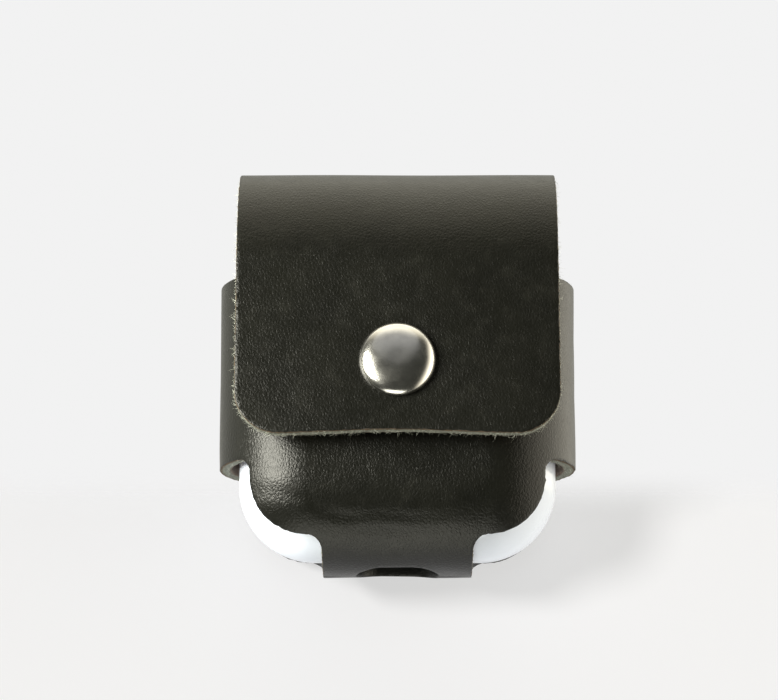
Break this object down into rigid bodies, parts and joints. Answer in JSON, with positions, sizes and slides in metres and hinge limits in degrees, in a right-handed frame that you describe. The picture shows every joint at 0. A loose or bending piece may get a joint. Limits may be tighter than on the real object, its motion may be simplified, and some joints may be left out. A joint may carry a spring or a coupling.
{
  "type": "earbud charging case in a leather sleeve",
  "caption": "Pocket charging case for wireless earbuds, held in a leather sleeve whose flap folds over the lid and closes with a snap.",
  "frame": {"origin": "centre of the back of the sleeve, on the surface that the object lies on", "axes": "X across the width, +Y from the charging port towards the lid and the flap's fold, +Z out of the front through the snap"},
  "size_m": [0.05, 0.0577, 0.0311],
  "materials": {
    "leather": "smooth waxed leather, raw cut edges",
    "thread": "waxed thread",
    "snap_metal": "polished nickel",
    "spring_brass": "plain",
    "white_shell": "polished",
    "inner_plastic": "satin",
    "earbud_plastic": "polished",
    "cell_wrap": "matte",
    "circuit_board": "satin",
    "port_metal": "satin",
    "contact_gold": "polished",
    "indicator": "frosted",
    "steel": "satin",
    "magnet": "plated",
    "mesh_dark": "woven",
    "contact_steel": "satin"
  },
  "bodies": {
    "sleeve": {"sleeve_body": "leather", "left_stitches": "thread", "right_stitches": "thread", "snap_stud": "snap_metal", "snap_stud_post": "snap_metal", "case_shell": "white_shell", "inner_tray": "inner_plastic", "battery": "cell_wrap", "main_board": "circuit_board", "charge_port": "port_metal", "port_contacts": "contact_gold", "status_led": "indicator", "button_switch": "steel", "hinge_bracket": "steel", "hinge_pin": "steel", "detent_spring": "steel", "body_magnets": "magnet", "well_contacts": "contact_gold", "left_earbud_shell": "earbud_plastic", "left_speaker_mesh": "mesh_dark", "left_charge_contact": "contact_steel", "left_speaker": "contact_steel", "left_cell": "cell_wrap", "right_earbud_shell": "earbud_plastic", "right_speaker_mesh": "mesh_dark", "right_charge_contact": "contact_steel", "right_speaker": "contact_steel", "right_cell": "cell_wrap"},
    "button": {"setup_button": "white_shell"},
    "lid": {"lid_shell": "white_shell", "lid_liner": "inner_plastic", "lid_magnets": "magnet", "hinge_leaf": "steel"},
    "upper_back": {"upper_back": "leather"},
    "flap_top": {"flap_top": "leather"},
    "flap_front": {"flap_front": "leather", "snap_cap": "snap_metal", "snap_socket": "snap_metal", "snap_spring": "spring_brass"}
  },
  "joints": [
    {"name": "lid_hinge", "type": "hinge", "parent": "sleeve", "child": "lid", "pos_m": [0, 0.01275, 0.0033], "axis": [-1, 0, 0], "range_deg": [0, 100]},
    {"name": "upper_back_bend", "type": "hinge", "parent": "sleeve", "child": "upper_back", "pos_m": [0, 0.00995, 0.0009], "axis": [-1, 0, 0], "range_deg": [0, 100]},
    {"name": "flap_fold_back", "type": "hinge", "parent": "upper_back", "child": "flap_top", "pos_m": [0, 0.02448, 0.00437], "axis": [-1, 0, 0], "range_deg": [0, 75]},
    {"name": "flap_fold_front", "type": "hinge", "parent": "flap_top", "child": "flap_front", "pos_m": [0, 0.02448, 0.02113], "axis": [-1, 0, 0], "range_deg": [0, 75]},
    {"name": "button_press", "type": "slide", "parent": "sleeve", "child": "button", "axis": [0, 0, 1], "range_m": [0, 0.0003], "stiffness_N_per_m": 1500, "springref_m": -0.0002}
  ],
  "couplings": [
    {"joint": "upper_back_bend", "follows": "lid_hinge", "ratio": 1},
    {"joint": "flap_fold_front", "follows": "flap_fold_back", "ratio": 1}
  ]
}
